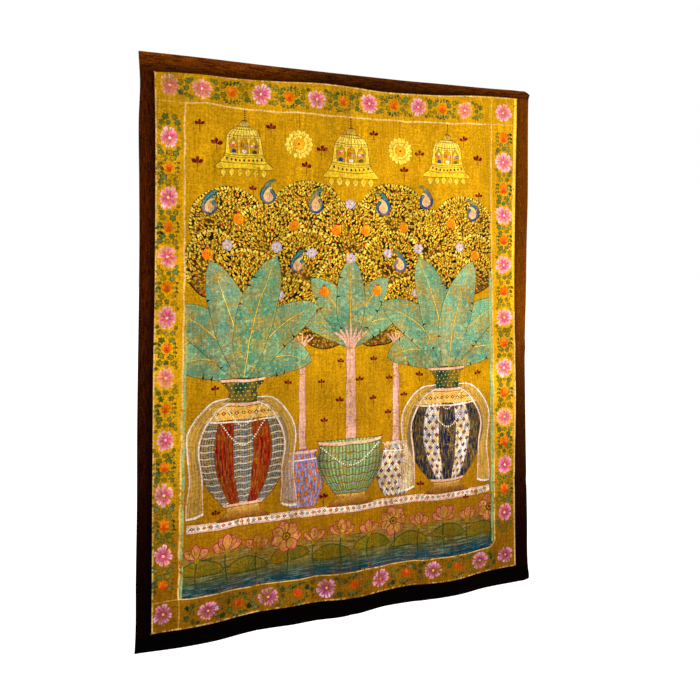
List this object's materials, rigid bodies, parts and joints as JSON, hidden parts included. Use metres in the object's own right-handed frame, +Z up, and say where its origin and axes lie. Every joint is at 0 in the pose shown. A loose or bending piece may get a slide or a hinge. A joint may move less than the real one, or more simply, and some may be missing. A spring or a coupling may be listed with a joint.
{
  "type": "pichwai painting",
  "caption": "Painted cotton wall hanging with a flower border and a dark brown sewn binding, hanging from its top edge in soft ripples and fold creases.",
  "frame": {"origin": "middle of the hanging's top edge", "axes": "+Z up, +X along the width to the right as seen from the front, -Y out of the painted face"},
  "size_m": [1.1688, 0.0219, 1.5369],
  "materials": {
    "painted_cotton": "matt hand-painted cotton, golden yellow ground with a many-coloured design",
    "brown_binding": "dark brown cotton velvet with a soft short pile"
  },
  "bodies": {
    "root": {"painted_panel": "painted_cotton", "binding_top": "brown_binding", "binding_bottom": "brown_binding", "binding_left": "brown_binding", "binding_right": "brown_binding"}
  },
  "joints": []
}
